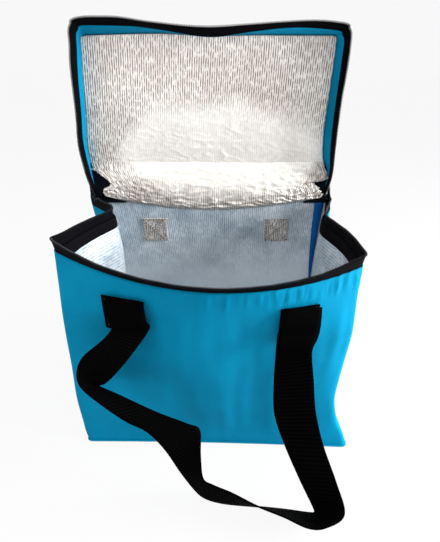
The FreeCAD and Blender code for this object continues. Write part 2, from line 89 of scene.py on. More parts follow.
eye = bpy.data.cameras.new("front_camera")
eye.lens = 27.9
eye.sensor_width = 36
eye.clip_start = 0.02
camera = add_object("front_camera", eye)
camera.location = (0.005, -0.412, 0.355)
camera.rotation_euler = (math.radians(64.2), math.radians(-0.2), math.radians(-0.4))
bpy.context.scene.camera = camera

table_reach = 40.0
table_mesh = bpy.data.meshes.new("table_top")
table_corners = [(x * table_reach, y * table_reach, 0) for x, y in ((-1, -1), (1, -1), (1, 1), (-1, 1))]
table_mesh.from_pydata(table_corners, [], [(0, 1, 2, 3)])
table = add_object("table_top", table_mesh)


def seen_directly(tree):
    """1 for a ray from the camera, off a gloss or through glass, and 0 for one that lights a surface."""
    seen = add_node(tree, "ShaderNodeLightPath", {}, {})
    direct = add_node(tree, "ShaderNodeMath", {"operation": "MAXIMUM"},
                      {0: seen.outputs["Is Camera Ray"], 1: seen.outputs["Is Glossy Ray"]})
    return add_node(tree, "ShaderNodeMath", {"operation": "MAXIMUM"},
                    {0: direct, 1: seen.outputs["Is Transmission Ray"]}).outputs[0]


# matt white board: reads as plain white, and keeps a faint soft shadow under the bag
white_share = 0.955
board, tree, surface = new_material("matt_white_board")
part_white = add_node(tree, "ShaderNodeMath", {"operation": "MULTIPLY", 1: white_share},
                      {0: seen_directly(tree)})
lit = add_node(tree, "ShaderNodeBsdfDiffuse", {"Color": linear("#f7f7f7")}, {})
white = add_node(tree, "ShaderNodeEmission", {"Color": linear("#fbfbfb"), "Strength": 1.0}, {})
mixed = add_node(tree, "ShaderNodeMixShader", {}, {0: part_white, 1: lit, 2: white})
tree.links.new(mixed.outputs[0], surface.inputs["Surface"])
table_mesh.materials.append(board)

studio = bpy.data.worlds.new("white_studio")
bpy.context.scene.world = studio
studio.use_nodes = True
tree = studio.node_tree
tree.nodes.clear()
surface = tree.nodes.new("ShaderNodeOutputWorld")
fill = add_node(tree, "ShaderNodeBackground", {"Color": linear("#fbfdff"), "Strength": 0.29}, {})
back = add_node(tree, "ShaderNodeBackground", {"Color": linear("#f8f8f8"), "Strength": 1.0}, {})
mixed = add_node(tree, "ShaderNodeMixShader", {}, {0: seen_directly(tree), 1: fill, 2: back})
tree.links.new(mixed.outputs[0], surface.inputs["Surface"])


def soft_lamp(name, place, aim, width, power):
    """A large square lamp at place that faces aim."""
    light = bpy.data.lights.new(name, "AREA")
    light.shape = "SQUARE"
    light.size = width
    light.energy = power
    lamp = add_object(name, light)
    lamp.location = place
    lamp.rotation_euler = (Vector(aim) - Vector(place)).to_track_quat("-Z", "Y").to_euler()


soft_lamp("right_soft_lamp", (1.25, -0.2, 0.55), (0, 0, 0.14), 0.55, 56)
soft_lamp("front_soft_lamp", (-0.6, -0.45, 0.5), (-0.05, 0, 0.22), 0.4, 2.9)
soft_lamp("top_soft_lamp", (0.15, -0.6, 1.6), (0, 0, 0.15), 1.2, 8.5)

bpy.context.scene.view_settings.view_transform = "Standard"


# ---- cloth walls ----
# The outer shell: thin turquoise polyester cloth, sewn into one ring of four walls. The front bows out
# where the bag stands open, the side walls fold in like a gusset, and all of it sags a little.
mm = 0.001    # one millimetre, in metres
front_width = 268
side_depth = 176
perimeter = 2 * (front_width + side_depth)
right_start = front_width
back_start = front_width + side_depth
left_start = 2 * front_width + side_depth
cloth_thick = 0.6
foam_thick = 3.0
foil_thick = 0.3
wall_thick = cloth_thick + foam_thick + foil_thick
rim_height = 205
fold_height = 217.6
front_bow = 38
right_fold = [(0, 0), (0.16, -2), (0.3, -5.5), (0.45, -12.2), (0.55, -16.4), (0.65, -14.3), (0.8, -6),
              (0.94, 0), (1, 0)]
left_fold = [(0, 0), (0.06, 5), (0.12, 8), (0.2, 11), (0.4, 21), (0.54, 30.5), (0.63, 35), (0.71, 32),
             (0.83, 19), (0.92, 9), (1, 0)]


def through(stops, at):
    """The smooth line through a few (place, value) stops, read at one place."""
    if at <= stops[0][0]:
        return stops[0][1]
    if at >= stops[-1][0]:
        return stops[-1][1]
    k = max(i for i in range(len(stops) - 1) if stops[i][0] <= at)

    def rise(i):
        return (stops[i + 1][1] - stops[i][1]) / (stops[i + 1][0] - stops[i][0])

    def slope(i):
        if i == 0 or i == len(stops) - 1:
            return rise(min(i, len(stops) - 2))
        low, high = rise(i - 1), rise(i)
        return 0 if low * high <= 0 else 2 * low * high / (low + high)

    gap = stops[k + 1][0] - stops[k][0]
    t = (at - stops[k][0]) / gap
    return (stops[k][1] * (1 + 2 * t) * (1 - t) ** 2 + stops[k + 1][1] * t * t * (3 - 2 * t)
            + gap * (slope(k) * t * (1 - t) ** 2 - slope(k + 1) * t * t * (1 - t)))


@lru_cache(maxsize=None)
def corner_line(hand, rise):
    """Where one upright corner stands, in x and y, at a share of the wall's height."""
    if hand == "front_left":
        return (through([(0, -130), (0.06, -133.3), (0.3, -137), (0.7, -137.2), (1, -134.5)], rise),
                through([(0, -90), (0.3, -88), (1, -84)], rise))
    if hand == "front_right":
        return (through([(0, 140), (0.05, 137.3), (0.15, 128.5), (0.3, 122.8), (0.5, 127),
                         (0.7, 130.5), (1, 131.3)], rise),
                through([(0, -99), (0.06, -97), (0.2, -93), (1, -88)], rise))
    if hand == "back_right":
        return through([(0, 134), (0.6, 136.5), (1, 142.5)], rise), 87.9
    return through([(0, -133), (0.6, -137.5), (1, -150)], rise), 87.9


def rim_level(travel):
    """The height of the walls' top edge, round the bag."""
    if travel < right_start:
        across = 2 * travel / front_width - 1
        return 209.5 - 6.5 * across - 13.5 * (1 - across * across)
    if travel < back_start:
        return through([(0, 203), (0.3, 205), (0.62, 205), (0.96, rim_height), (1, fold_height)],
                       (travel - right_start) / side_depth)
    if travel < left_start:
        return fold_height
    return through([(0, 216), (0.3, 212.5), (0.63, 208), (0.85, 205.5), (0.96, rim_height),
                    (1, fold_height)], (perimeter - travel) / side_depth)


def raw_wall(travel, rise):
    """The wall ring before its corners are rounded."""
    travel %= perimeter
    height = rise * rim_level(travel)
    if travel < right_start:
        share = travel / front_width
        left_x, left_y = corner_line("front_left", rise)
        right_x, right_y = corner_line("front_right", rise)
        pinch = right_x - through([(0, 138), (1, 131.3)], rise)
        across = 2 * share - 1
        x = left_x + (right_x - pinch - left_x) * share + pinch * share ** 5
        bow = front_bow * max(0, rise) ** 1.15 * (1 - across * across)
        return Vector((x, left_y + (right_y - left_y) * share ** 2 - bow, height))
    if travel < back_start:
        share, near, far = (travel - right_start) / side_depth, "front_right", "back_right"
        inward, foot = through(right_fold, share), 2
    elif travel < left_start:
        share, near, far = (travel - back_start) / front_width, "back_right", "back_left"
        inward, foot = 0, 2
    else:
        share, near, far = (perimeter - travel) / side_depth, "front_left", "back_left"
        inward, foot = through(left_fold, share), 2.2
    (near_x, near_y), (far_x, far_y) = corner_line(near, rise), corner_line(far, rise)
    return Vector((near_x + (far_x - near_x) * share + inward * (1 - max(0, 1 - rise) ** foot),
                   near_y + (far_y - near_y) * share, height))


net_step = 4
net_rows = 32


@lru_cache(maxsize=None)
def wall_knot(column, row):
    """A knot of the net that the walls are drawn over: the ring with soft corners."""
    travel, rise = column * net_step, row / net_rows
    point = Vector((0, 0, 0))
    for step, weight in ((-5, 1), (-2.5, 2), (0, 2), (2.5, 2), (5, 1)):
        point += raw_wall(travel + step, rise) * weight / 8
    point.z = rise * rim_level(travel % perimeter)
    return point


@lru_cache(maxsize=None)
def knot_out(column, row):
    """The direction that points out of the wall at a knot."""
    columns = perimeter // net_step
    along = wall_knot((column + 1) % columns, row) - wall_knot((column - 1) % columns, row)
    up = wall_knot(column, row + 1) - wall_knot(column, row - 1)
    return along.cross(up).normalized()


def four_weights(t):
    """How much each of four knots in a row counts, between the second and the third."""
    return (t * t - 0.5 * t - 0.5 * t ** 3, 1 - 2.5 * t * t + 1.5 * t ** 3,
            0.5 * t + 2 * t * t - 1.5 * t ** 3, 0.5 * t ** 3 - 0.5 * t * t)


def smooth_wall(travel, rise):
    """A point of the wall's outer face before it sags, and the direction out of it."""
    columns = perimeter // net_step
    across, up = (travel % perimeter) / net_step, rise * net_rows
    column, row = int(across), min(max(int(up), 0), net_rows - 1)
    over, above = four_weights(across - column), four_weights(up - row)
    point, out = Vector((0, 0, 0)), Vector((0, 0, 0))
    for i in range(4):
        for j in range(4):
            weight = over[i] * above[j]
            spot = ((column + i - 1) % columns, row + j - 1)
            point += weight * wall_knot(*spot)
            out += weight * knot_out(*spot)
    return point, out.normalized()


def sag(travel, rise):
    """How far soft folds move the wall out, in mm."""
    angle = 2 * math.pi * travel / perimeter
    ring = Vector((2.2 * math.cos(angle), 2.2 * math.sin(angle), 0))
    wide_sag, small_sag = 2.4, 0.8
    wide = noise.noise(ring * 1.7 + Vector((0, 0, rise * 1.8 + 4)))
    small = noise.noise(ring * 5.5 + Vector((7, 3, rise * 4.5)))
    held = min(1, 6 * rise) * min(1, 6 * (1 - rise))
    back = 0.4 if back_start < travel % perimeter < left_start else 1
    return (wide_sag * wide + small_sag * small) * held * back


def pucker(travel, rise):
    """Small upright gathers in the cloth below the rim seam, in mm."""
    gather_deep, gather_level, gather_spread = 2.3, 8, 9
    travel %= perimeter
    below = (1 - rise) * rim_height
    fade = math.exp(-((below - gather_level) / gather_spread) ** 2)
    wave = noise.noise(Vector((travel / 3.4, below / 30, 2)))
    wave += 0.5 * noise.noise(Vector((travel / 2.0, 5, below / 20)))
    share = through([(0, 0.25), (110, 0.4), (150, 1.0), (front_width, 1.0), (300, 0.6),
                     (perimeter, 0.5)], travel)
    return gather_deep * max(-0.1, wave) * fade * share


def wall_at(travel, rise, depth):
    """A point in the wall, in mm, at a depth below its outer face."""
    point, out = smooth_wall(travel, rise)
    return point + out * (sag(travel, rise) - depth)


def cloth_grid(name, columns, rows, place, size, finish, thick=0, offset=-1, closed=False, turned=None):
    """A sheet of quads: place gives its points in mm, size its flat width and height in mm. Its thickness, in
    mm, lies inside its outer face, or on both sides of it where offset is 0. turned tells where its ribs run
    the other way. There they are drawn half as coarse again, because those walls are seen on the slant."""
    points, faces, spots = [], [], []
    wide = columns if closed else columns + 1
    for row in range(rows + 1):
        for column in range(wide):
            points.append(place(column / columns, row / rows) * mm)
    for row in range(rows):
        for column in range(columns):
            after = (column + 1) % wide
            faces.append((row * wide + column, row * wide + after, (row + 1) * wide + after,
                          (row + 1) * wide + column))
            spots.append(((column, row), (column + 1, row), (column + 1, row + 1), (column, row + 1)))
    mesh = bpy.data.meshes.new(name)
    mesh.from_pydata(points, [], faces)
    layer = mesh.uv_layers.new(name="cloth")
    for face, corners in zip(mesh.polygons, spots):
        swap = turned is not None and turned((corners[0][0] + 0.5) / columns)
        for loop, (column, row) in zip(face.loop_indices, corners):
            spot = (size[0] * mm * column / columns, size[1] * mm * row / rows)
            layer.data[loop].uv = (0.65 * spot[1], spot[0]) if swap else spot
    mesh.polygons.foreach_set("use_smooth", [True] * len(faces))
    mesh.materials.append(finish)
    piece = add_object(name, mesh)
    if thick:
        wall = piece.modifiers.new("thickness", "SOLIDIFY")
        wall.thickness = thick * mm
        wall.offset = offset
    return piece


# polyester cloth, plain woven and piece-dyed: an even turquoise with a soft sheen and a very fine grid.
# Its threads are 0.35 mm apart, too fine to show, so they are drawn at 1.1 mm.
band_scale = 2 * math.pi / 20 / mm    # the scale of a wave texture whose bands are 1 mm apart
cloth_thread = 1.1
cloth_finish, tree, surface = new_material("turquoise_polyester_plain_weave")
flat_place = add_node(tree, "ShaderNodeUVMap", {"uv_map": "cloth"}, {}).outputs[0]
warp, weft = (add_node(tree, "ShaderNodeTexWave",
                       {"bands_direction": way, "Distortion": 0.6, "Detail": 1.0,
                        "Scale": band_scale / cloth_thread}, {"Vector": flat_place}) for way in "XY")
weave = add_node(tree, "ShaderNodeMath", {"operation": "MULTIPLY"},
                 {0: warp.outputs["Fac"], 1: weft.outputs["Fac"]})
spot = add_node(tree, "ShaderNodeTexCoord", {}, {}).outputs["Object"]
dye = add_node(tree, "ShaderNodeTexNoise", {"Scale": 14.0, "Detail": 4.0, "Roughness": 0.6},
               {"Vector": spot})
tone = add_node(tree, "ShaderNodeMath", {"operation": "MULTIPLY_ADD", 1: 0.22},
                {0: weave, 2: dye.outputs["Fac"]})
colour = add_node(tree, "ShaderNodeValToRGB", {}, {0: tone})
colour.color_ramp.elements[0].position = 0.35
colour.color_ramp.elements[0].color = linear("#006b8d")
colour.color_ramp.elements[1].position = 0.8
colour.color_ramp.elements[1].color = linear("#007ba0")
relief = add_node(tree, "ShaderNodeBump", {"Strength": 0.2, "Distance": 0.0002}, {"Height": weave})
creases = add_node(tree, "ShaderNodeTexNoise", {"Scale": 60.0, "Detail": 3.0, "Roughness": 0.5},
                   {"Vector": spot})
relief_two = add_node(tree, "ShaderNodeBump", {"Strength": 0.2, "Distance": 0.001},
                      {"Height": creases.outputs["Fac"], "Normal": relief})
cloth_shader = add_node(tree, "ShaderNodeBsdfPrincipled",
                        {"Roughness": 0.7, "Sheen Weight": 0.02, "Sheen Roughness": 0.4,
                         "Sheen Tint": linear("#7fe0ff"), "Specular IOR Level": 0.03},
                        {"Base Color": colour, "Normal": relief_two})
tree.links.new(cloth_shader.outputs[0], surface.inputs["Surface"])

walls_cloth = cloth_grid("walls_cloth", 440, 64,
                         lambda c, r: wall_at(c * perimeter, r, -pucker(c * perimeter, r)),
                         (perimeter, rim_height), cloth_finish, cloth_thick, closed=True)
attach(walls_cloth, "bag")
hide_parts("front_panel", "back_panel", "left_panel", "right_panel")


# ---- foam and foil walls ----
# Behind the cloth lies closed-cell foam, and inside it the embossed foil film, both cut to the same four
# walls. The foil is creased where it has been folded.
crease_seed = 1
noise.seed_set(crease_seed)    # the creases are the same each time the script runs


def foil_crease(place, wide, fine):
    """Sharp little folds in the foil film, in mm, at a place in mm."""
    bent = place + 7 * noise.noise_vector(place / 30)
    ridge = 1 - abs(noise.noise(bent / 26)) * 2.2
    small = 1 - abs(noise.noise(bent / 9 + Vector((5, 1, 2)))) * 2
    return wide * max(0, ridge) ** 3 + fine * max(0, small) ** 2


def two_tone(tree, surface, pattern, dark, light, values, bump=None):
    """The end of a plain finish: a pattern mixes two colours and may raise them, values are the shader's."""
    colour = add_node(tree, "ShaderNodeValToRGB", {}, {0: pattern})
    colour.color_ramp.elements[0].color = linear(dark)
    colour.color_ramp.elements[1].color = linear(light)
    links = {"Base Color": colour}
    if bump:
        links["Normal"] = add_node(tree, "ShaderNodeBump", bump, {"Height": pattern})
    shader = add_node(tree, "ShaderNodeBsdfPrincipled", values, links)
    tree.links.new(shader.outputs[0], surface.inputs["Surface"])


# polyethylene foam: off-white, with the faint open cells of its cut edge
foam_finish, tree, surface = new_material("white_polyethylene_foam")
spot = add_node(tree, "ShaderNodeTexCoord", {}, {}).outputs["Object"]
cells = add_node(tree, "ShaderNodeTexVoronoi", {"Scale": 900.0}, {"Vector": spot})
two_tone(tree, surface, cells.outputs["Distance"], "#e9e9e6", "#f6f6f4", {"Roughness": 0.8},
         {"Strength": 0.4, "Distance": 0.0003})

walls_foam = cloth_grid("walls_foam", 200, 36,
                        lambda c, r: wall_at(c * perimeter, 0.01 + 0.965 * r, cloth_thick),
                        (perimeter, rim_height), foam_finish, foam_thick, closed=True)
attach(walls_foam, "bag")
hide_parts("front_foam", "back_foam", "left_foam", "right_foam")


def foil_material(name, dark, groove_shade, bright, smooth, rib_depth, metallic, roughness, edge_rise):
    """Metallised film laminated on foam and embossed with fine broken ribs: silver, with painted shade,
    grey-brown, in the grooves.
    The dark and bright tones are painted shaded and lit tones of the one film, mixed by random blots. smooth
    is where, in metres up the sheet, the ribs are pressed flat and painted paler, as painted light, and where
    they are whole again, which edge_rise brings lower at the sheet's sides. The ribs are drawn at their own
    pitch."""
    rib_pitch, break_wide, break_long = 2.3, 1.7, 7.0    # mm
    patch_middle, patch_steep, patch_blur = 0.148, 8.0, 0.02    # the pressed patch, in metres
    finish, tree, surface = new_material(name)
    flat_place = add_node(tree, "ShaderNodeUVMap", {"uv_map": "cloth"}, {}).outputs[0]
    spot = add_node(tree, "ShaderNodeTexCoord", {}, {}).outputs["Object"]
    ribs = add_node(tree, "ShaderNodeTexWave",
                    {"bands_direction": "X", "Distortion": 0.9, "Detail": 1.0,
                     "Scale": band_scale / rib_pitch}, {"Vector": flat_place})
    laid = add_node(tree, "ShaderNodeMapping", {"Scale": (1 / break_wide / mm, 1 / break_long / mm, 1)},
                    {"Vector": flat_place})
    breaks = add_node(tree, "ShaderNodeTexNoise", {"Scale": 1.0, "Detail": 2.0, "Roughness": 0.6},
                      {"Vector": laid})
    broken = add_node(tree, "ShaderNodeMapRange", {1: 0.36, 2: 0.54}, {0: breaks.outputs["Fac"]})
    lines = add_node(tree, "ShaderNodeMath", {"operation": "MULTIPLY"},
                     {0: ribs.outputs["Fac"], 1: broken})
    blots = add_node(tree, "ShaderNodeTexNoise", {"Scale": 22.0, "Detail": 5.0, "Roughness": 0.65},
                     {"Vector": spot})
    height = add_node(tree, "ShaderNodeSeparateXYZ", {}, {0: flat_place})
    aside = add_node(tree, "ShaderNodeMath",
                     {"operation": "MULTIPLY_ADD", 1: patch_steep, 2: -patch_steep * patch_middle},
                     {0: height.outputs["X"]})
    edge = add_node(tree, "ShaderNodeMath", {"operation": "POWER", 1: 4.0}, {0: aside})
    lifted = add_node(tree, "ShaderNodeMath", {"operation": "MULTIPLY_ADD", 1: edge_rise},
                      {0: edge, 2: height.outputs["Y"]})
    uneven = add_node(tree, "ShaderNodeMath", {"operation": "MULTIPLY_ADD", 1: 2 * patch_blur},
                      {0: blots.outputs["Fac"], 2: lifted})
    whole = add_node(tree, "ShaderNodeMapRange",
                     {"interpolation_type": "SMOOTHSTEP", 1: smooth[0] + patch_blur,
                      2: smooth[1] + patch_blur}, {0: uneven})
    shown = add_node(tree, "ShaderNodeMapRange", {1: 0.0, 2: 1.0, 3: 0.18, 4: 1.0}, {0: whole})
    rib_show = add_node(tree, "ShaderNodeMath", {"operation": "MULTIPLY"}, {0: lines, 1: shown})
    shade = add_node(tree, "ShaderNodeMapRange", {1: 0.22, 2: 0.8}, {0: blots.outputs["Fac"]})
    shade_show = add_node(tree, "ShaderNodeMath", {"operation": "MULTIPLY"}, {0: shade, 1: shown})
    # painted light and shade: the pale tone stands for lit foil and the dark tone for shaded foil, mixed by
    # random blots
    sheet_tone_and_shade = add_node(tree, "ShaderNodeMix", {"data_type": "RGBA", 6: linear(bright), 7: linear(dark)},
                          {0: shade_show})
    # painted shade in the grooves of the ribs
    deep = add_node(tree, "ShaderNodeMath", {"operation": "MULTIPLY", 1: rib_depth}, {0: rib_show})
    colour = add_node(tree, "ShaderNodeMix", {"data_type": "RGBA", 7: linear(groove_shade)},
                      {0: deep, 6: sheet_tone_and_shade.outputs[2]})
    relief = add_node(tree, "ShaderNodeBump", {"Strength": 0.5, "Distance": 0.0006, "invert": True},
                      {"Height": rib_show})
    crinkle = add_node(tree, "ShaderNodeTexNoise", {"Scale": 90.0, "Detail": 5.0, "Roughness": 0.6},
                       {"Vector": spot})
    relief_two = add_node(tree, "ShaderNodeBump", {"Strength": 0.35, "Distance": 0.002},
                          {"Height": crinkle.outputs["Fac"], "Normal": relief})
    shader = add_node(tree, "ShaderNodeBsdfPrincipled", {"Metallic": metallic, "Roughness": roughness},
                      {"Base Color": colour.outputs[2], "Normal": relief_two})
    tree.links.new(shader.outputs[0], surface.inputs["Surface"])
    return finish


# the lining in the body of the bag: the lid's film painted cooler, greyer and darker, as painted shade, and
# on the front and back walls painted paler low down, as painted light, and darker towards the top; its ribs
# level on the side walls
wall_foil_shaded_finish = foil_material("embossed_foil_film_walls", "#64798a", "#54656f", "#ecf3f8",
                                 (0.1, 0.165), 0.6, 0.2, 0.36, 0.0)
foil_in = cloth_thick + foam_thick


def wall_foil_at(across, up):
    """A point on the lining, creased a little and cut short below the binding."""
    travel = across * perimeter
    reach = 0.965 if back_start < travel < left_start else 0.945
    crease = foil_crease(Vector((travel, up * rim_height, 0)), 0.35, 0.25)
    return wall_at(travel, 0.015 + reach * up, foil_in + crease * min(1, 8 * (1 - up)))


walls_foil = cloth_grid(
    "walls_foil", 380, 90, wall_foil_at, (perimeter, rim_height), wall_foil_shaded_finish, foil_thick, closed=True,
    turned=lambda c: right_start < c * perimeter < back_start or c * perimeter > left_start)
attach(walls_foil, "bag")
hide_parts("front_foil", "back_foil", "left_foil", "right_foil")


# ---- base ----
# Cloth, foam and foil cut to one rectangle and sewn to the walls. The seam stands out as a thin ridge.
base_cloth_level = 0.15
base_foam_level = 0.8
base_foil_level = 3.9
base_foam_thick = 2.7


def base_at(across, along, level):
    """A point in the base, in mm: its edge follows the walls' foot."""
    def foot(travel):
        return smooth_wall(travel, 0.0)[0]

    front, rear = foot(across * front_width), foot(left_start - across * front_width)
    left, right = foot(perimeter - along * side_depth), foot(right_start + along * side_depth)
    point = (front * (1 - along) + rear * along + left * (1 - across) + right * across
             - foot(0) * (1 - across) * (1 - along) - foot(right_start) * across * (1 - along)
             - foot(left_start) * (1 - across) * along - foot(back_start) * across * along)
    return Vector((point.x * 0.997, point.y * 0.997, level))


base_cloth = cloth_grid("base_cloth", 60, 40, lambda c, r: base_at(1 - c, r, base_cloth_level),
                        (front_width, side_depth), cloth_finish, cloth_thick)
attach(base_cloth, "bag")
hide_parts("base_panel")

base_padding = cloth_grid("base_padding", 30, 20,
                          lambda c, r: base_at(0.985 - 0.97 * c, 0.02 + 0.96 * r, base_foam_level),
                          (front_width, side_depth), foam_finish, base_foam_thick)
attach(base_padding, "bag")
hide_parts("base_foam")

base_lining = cloth_grid(
    "base_lining", 110, 72,
    lambda c, r: base_at(0.015 + 0.97 * c, 0.02 + 0.96 * r,
                         base_foil_level
                         + foil_crease(Vector((c * front_width, r * side_depth, 900)), 0.7, 0.3)),
    (front_width, side_depth), wall_foil_shaded_finish, foil_thick)
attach(base_lining, "bag")
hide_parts("base_foil")


def base_ridge(share, turn):
    """The seam allowance folded round the foot of the walls."""
    spot, out = smooth_wall(share * perimeter, 0.012)
    out.z = 0
    out.normalize()
    angle = 2 * math.pi * turn
    return Vector((spot.x, spot.y, 1.3 + 1.1 * math.sin(angle))) + out * (0.2 + 1.0 * math.cos(angle))


base_seam = cloth_grid("base_seam", 260, 8, base_ridge, (perimeter, 7), cloth_finish, closed=True)
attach(base_seam, "bag")


# ---- rim: binding, zip tape and coil ----
# A black woven tape covers the raw edges inside the rim. The zip's half tape is sewn into the same seam
# and stands up from it, leaning out in the middle of the front, with the nylon coil along its free edge.
tape_width = 9.6
tape_thick = 0.8
binding_width = 10.0
coil_wide = 2.6
coil_high = 2.4
tape_start = left_start
tape_travel = perimeter - front_width
tape_in = 1.0
tape_sunk = 0.5
binding_thick = 0.5


def tape_lean(travel):
    """How far the tape leans out of upright, in degrees."""
    travel = (travel - left_start) % perimeter
    return through([(0, 0), (30, 0), (90, -12), (150, 0), (176, 10), (230, 34), (310, 44), (390, 34),
                    (436, 12), (500, 4), (620, 0)], travel)


def rim_at(travel, up, depth):
    """A point on the tape, in mm: up from the wall's top edge and depth in from the cloth's outer face."""
    foot, out = smooth_wall(travel, 1.0)
    out.z = 0
    out.normalize()
    lean = math.radians(tape_lean(travel))
    rise = Vector((0, 0, 1)) * math.cos(lean) + out * math.sin(lean)
    face = out * math.cos(lean) - Vector((0, 0, 1)) * math.sin(lean)
    ripple = 0.5 * noise.noise(Vector((travel / 16, up / 12, 3))) * min(1, abs(up) / 6)
    return foot + rise * up - out * depth + face * ripple


def twill_material(name, wander, dark, light, depth, roughness, gloss):
    """Polyester woven with a slanting grain. Its threads are too fine to show, so they are drawn at 1 mm."""
    finish, tree, surface = new_material(name)
    flat_place = add_node(tree, "ShaderNodeUVMap", {"uv_map": "cloth"}, {}).outputs[0]
    twill = add_node(tree, "ShaderNodeTexWave",
                     {"bands_direction": "DIAGONAL", "Distortion": wander, "Detail": 1.0,
                      "Scale": band_scale}, {"Vector": flat_place})
    two_tone(tree, surface, twill.outputs["Fac"], dark, light,
             {"Roughness": roughness, "Specular IOR Level": gloss}, {"Strength": depth, "Distance": 0.0003})
    return finish


# woven polyester tape: matt black, with a fine herringbone grain
tape_finish = twill_material("black_polyester_woven_tape", 0.4, "#010103", "#060609", 0.35, 0.85, 0.04)

rim_tape = cloth_grid("rim_tape", 230, 6,
                      lambda c, r: rim_at(tape_start + c * tape_travel,
                                          -tape_sunk + (tape_width + tape_sunk) * r, tape_in),
                      (tape_travel, tape_width), tape_finish, tape_thick, offset=0)
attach(rim_tape, "bag")
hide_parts("rim_zip_tape")


def edging_at(share, up):
    """A point on the binding, which turns over the top of the lining on to the zip tape."""
    travel = tape_start + share * tape_travel
    turn = 0.82
    level = 1 - binding_width / rim_height * (1 - up / turn) if up < turn else 1
    inner = wall_at(travel, min(level, 1), wall_thick + 0.25)
    if up <= turn:
        return inner
    over = rim_at(travel, 0.9, tape_in + 0.75)
    return inner + (over - inner) * ((up - turn) / 0.18)


rim_edging = cloth_grid("rim_edging", 230, 9, edging_at, (tape_travel, 12.5), tape_finish, binding_thick)
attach(rim_edging, "bag")
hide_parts("rim_binding")


def thread_material(name, grain, dark, light, roughness, gloss):
    """Thread or wire of a smooth fibre, its two tones mixed by a fine grain."""
    finish, tree, surface = new_material(name)
    spot = add_node(tree, "ShaderNodeTexCoord", {}, {}).outputs["Object"]
    worn = add_node(tree, "ShaderNodeTexNoise", {"Scale": grain, "Detail": 2.0}, {"Vector": spot})
    two_tone(tree, surface, worn.outputs["Fac"], dark, light,
             {"Roughness": roughness, "Specular IOR Level": gloss})
    return finish


# nylon coil: black and slightly glossy moulded loops
coil_finish = thread_material("black_nylon_coil", 300.0, "#020204", "#0a0a0d", 0.5, 0.2)


def repeat_tree(name, finish, round_body):
    """Geometry Nodes: small bodies set along a line, one each step, turned to follow it."""
    tree = bpy.data.node_groups.new(name, "GeometryNodeTree")
    tree.interface.new_socket("Geometry", in_out="INPUT", socket_type="NodeSocketGeometry")
    for field in ("Step", "Length", "Width", "Height"):
        tree.interface.new_socket(field, in_out="INPUT", socket_type="NodeSocketFloat")
    tree.interface.new_socket("Geometry", in_out="OUTPUT", socket_type="NodeSocketGeometry")
    given = tree.nodes.new("NodeGroupInput")
    result = tree.nodes.new("NodeGroupOutput")
    line = add_node(tree, "GeometryNodeMeshToCurve", {}, {"Mesh": given.outputs["Geometry"]})
    steps = add_node(tree, "GeometryNodeResampleCurve", {"mode": "LENGTH"},
                     {"Curve": line, "Length": given.outputs["Step"]})
    heading = add_node(tree, "GeometryNodeInputTangent", {}, {})
    turned = add_node(tree, "FunctionNodeAlignRotationToVector", {"axis": "X"}, {"Vector": heading})
    if round_body:
        body = add_node(tree, "GeometryNodeMeshUVSphere", {"Segments": 6, "Rings": 4, "Radius": 0.5}, {})
    else:
        body = add_node(tree, "GeometryNodeMeshIcoSphere", {"Subdivisions": 1, "Radius": 0.5}, {})
    sizes = add_node(tree, "ShaderNodeCombineXYZ", {},
                     {"X": given.outputs["Length"], "Y": given.outputs["Width"],
                      "Z": given.outputs["Height"]})
    placed = add_node(tree, "GeometryNodeInstanceOnPoints", {},
                      {"Points": steps, "Instance": body.outputs["Mesh"],
                       "Rotation": turned, "Scale": sizes})
    real = add_node(tree, "GeometryNodeRealizeInstances", {}, {"Geometry": placed})
    coated = add_node(tree, "GeometryNodeSetMaterial", {"Material": finish}, {"Geometry": real})
    tree.links.new(coated.outputs[0], result.inputs[0])
    return tree


def repeat_along(name, lines, tree, step, length, width, height):
    """A plain mesh of the tree's bodies along the lines, which are lists of points in mm."""
    points, edges = [], []
    for line in lines:
        edges += [(len(points) + k, len(points) + k + 1) for k in range(len(line) - 1)]
        points += [point * mm for point in line]
    path_mesh = bpy.data.meshes.new(name + "_line")
    path_mesh.from_pydata(points, edges, [])
    path = add_object(name + "_line", path_mesh)
    nodes = path.modifiers.new("repeat", "NODES")
    nodes.node_group = tree
    sizes = {"Step": step, "Length": length, "Width": width, "Height": height}
    for item in tree.interface.items_tree:
        if item.in_out == "INPUT" and item.name in sizes:
            nodes[item.identifier] = sizes[item.name] * mm
    bpy.context.view_layer.update()
    seen = path.evaluated_get(bpy.context.evaluated_depsgraph_get())
    mesh = bpy.data.meshes.new_from_object(seen)
    mesh.name = name
    bpy.data.objects.remove(path)
    return add_object(name, mesh)


coil_tree = repeat_tree("nylon_coil_loops", coil_finish, False)
coil_step = 1.5
coil_loop = 1.1
rim_coil = repeat_along(
    "rim_coil", [[rim_at(tape_start + k / 400 * tape_travel, tape_width + coil_high / 2 - 0.2, tape_in)
                  for k in range(401)]], coil_tree, coil_step, coil_loop, coil_wide, coil_high)
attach(rim_coil, "bag")
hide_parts("rim_zip_coil")

# sewing thread: fine twisted polyester, grey where it crosses the lining and the binding
grey_thread = thread_material("grey_polyester_thread", 400.0, "#8f8a86", "#d9d4ce", 0.7, 0.5)
grey_stitches = repeat_tree("grey_stitches", grey_thread, True)
stitch_step = 3.0
stitch_long = 2.5

rim_stitching = repeat_along(
    "rim_stitching", [[rim_at(tape_start + k / 300 * tape_travel, 0.9, tape_in + 1.1) for k in range(301)]],
    grey_stitches, stitch_step, stitch_long, 0.45, 0.45)
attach(rim_stitching, "bag")


